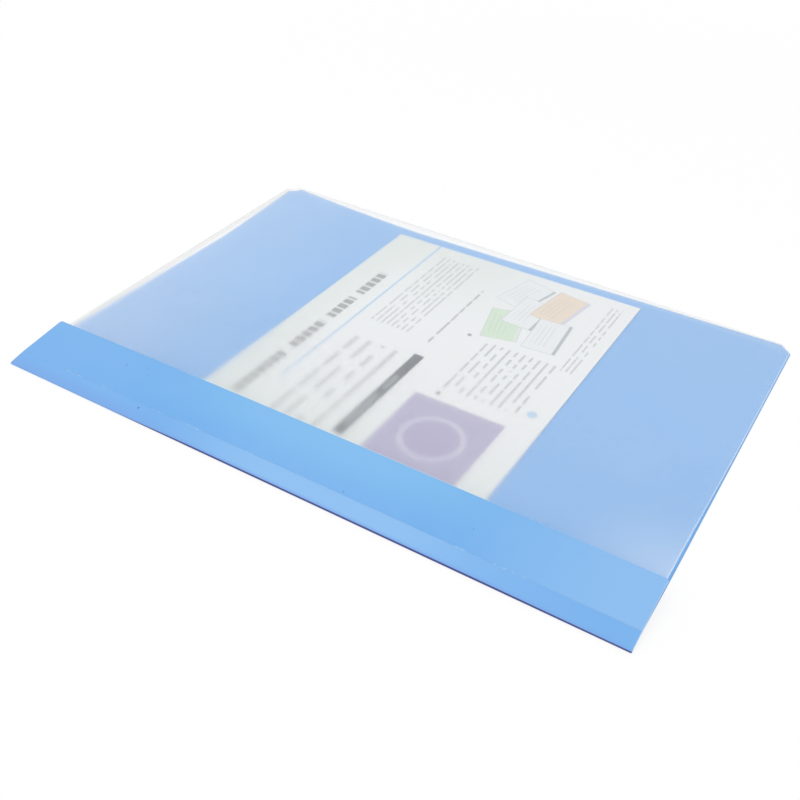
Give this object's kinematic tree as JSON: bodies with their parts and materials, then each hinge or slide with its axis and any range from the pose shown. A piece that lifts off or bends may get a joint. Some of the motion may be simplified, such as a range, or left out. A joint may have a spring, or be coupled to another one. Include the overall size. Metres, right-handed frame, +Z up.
{
  "type": "report file",
  "caption": "Report file lying closed: folded plastic back panel with a binding flap, frosted front cover that opens at the spine, prong fastener under the flap and a loose insert card.",
  "frame": {"origin": "centre of the back panel's flat underside, on the surface the file lies on", "axes": "+X along the spine, +Y from the spine to the far edge, +Z up out of the front cover"},
  "size_m": [0.307, 0.219, 0.0088],
  "materials": {
    "blue_plastic": "satin translucent blue polypropylene",
    "frosted_film": "frosted clear polypropylene",
    "card_paper": "smooth coated card with pale print",
    "white_plastic": "white moulded plastic"
  },
  "bodies": {
    "back": {"back_panel": "blue_plastic", "insert_card": "card_paper", "fastener_base": "white_plastic", "compressor_bar": "white_plastic"},
    "front": {"binding_flap": "blue_plastic", "clear_cover": "frosted_film"}
  },
  "joints": [
    {"name": "cover_hinge", "type": "hinge", "parent": "back", "child": "front", "pos_m": [0, -0.1095, 0.00065], "axis": [1, 0, 0], "range_deg": [0, 165]}
  ]
}
